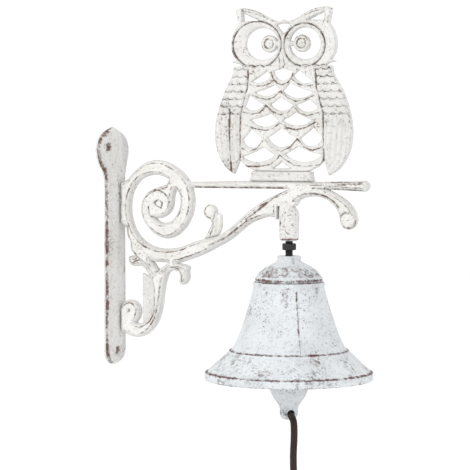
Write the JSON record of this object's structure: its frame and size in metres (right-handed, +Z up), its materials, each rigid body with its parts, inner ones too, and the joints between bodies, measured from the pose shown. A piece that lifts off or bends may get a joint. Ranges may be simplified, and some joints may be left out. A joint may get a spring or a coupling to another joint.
{
  "type": "wall mounted bell",
  "caption": "Wall mounted cast iron bell on a spiral scroll bracket with a pierced owl on a perch, a swinging clapper and a braided pull cord.",
  "frame": {"origin": "on the wall, at the back face of the wall plate, on the bracket's middle plane, half way up between the two screw holes", "axes": "+Z up; +X straight out of the wall along the bracket; the bracket's middle plane is Y = 0"},
  "size_m": [0.2166, 0.1282, 0.4864],
  "materials": {
    "bracket_casting": "antique white paint, rubbed through to brown on the edges",
    "bell_casting": "antique white paint, slightly cool, rubbed through on rings and rim",
    "black_steel": "black oxide",
    "brown_cord": "braided"
  },
  "bodies": {
    "bracket": {"wall_plate": "bracket_casting", "scroll": "bracket_casting", "arm": "bracket_casting", "leaf_bud": "bracket_casting", "lower_scroll": "bracket_casting", "leaf_left": "bracket_casting", "leaf_right": "bracket_casting", "perch_bar": "bracket_casting", "bell_boss": "bracket_casting", "owl_foot": "bracket_casting", "owl_breast": "bracket_casting", "owl_wing_left": "bracket_casting", "owl_wing_right": "bracket_casting", "owl_head": "bracket_casting", "hanger_rod": "black_steel", "lock_nut": "black_steel", "inner_nut": "black_steel"},
    "washer": {"seat_washer": "black_steel"},
    "bell": {"bell": "bell_casting"},
    "link": {"clapper_ring": "black_steel"},
    "clapper": {"clapper": "bell_casting"},
    "cord": {"pull_cord": "brown_cord", "cord_stop_knot": "brown_cord", "cord_end_knot": "brown_cord"}
  },
  "joints": [
    {"name": "bell_spin", "type": "hinge", "parent": "bracket", "child": "washer", "pos_m": [0.151, 0, -0.008], "axis": [0, 0, 1], "continuous": true},
    {"name": "bell_sway", "type": "hinge", "parent": "washer", "child": "bell", "pos_m": [0.151, 0, -0.004], "axis": [0, 1, 0], "range_deg": [-3, 3]},
    {"name": "ring_swing", "type": "hinge", "parent": "bracket", "child": "link", "pos_m": [0.151, 0, -0.0295], "axis": [0.788, 0.6157, 0], "range_deg": [-4, 4]},
    {"name": "clapper_swing", "type": "hinge", "parent": "link", "child": "clapper", "pos_m": [0.151, 0, -0.0387], "axis": [-0.6157, 0.788, 0], "range_deg": [-23, 23]},
    {"name": "cord_swing", "type": "hinge", "parent": "clapper", "child": "cord", "pos_m": [0.151, 0, -0.121], "axis": [0.6157, -0.788, 0], "range_deg": [-45, 45]}
  ]
}
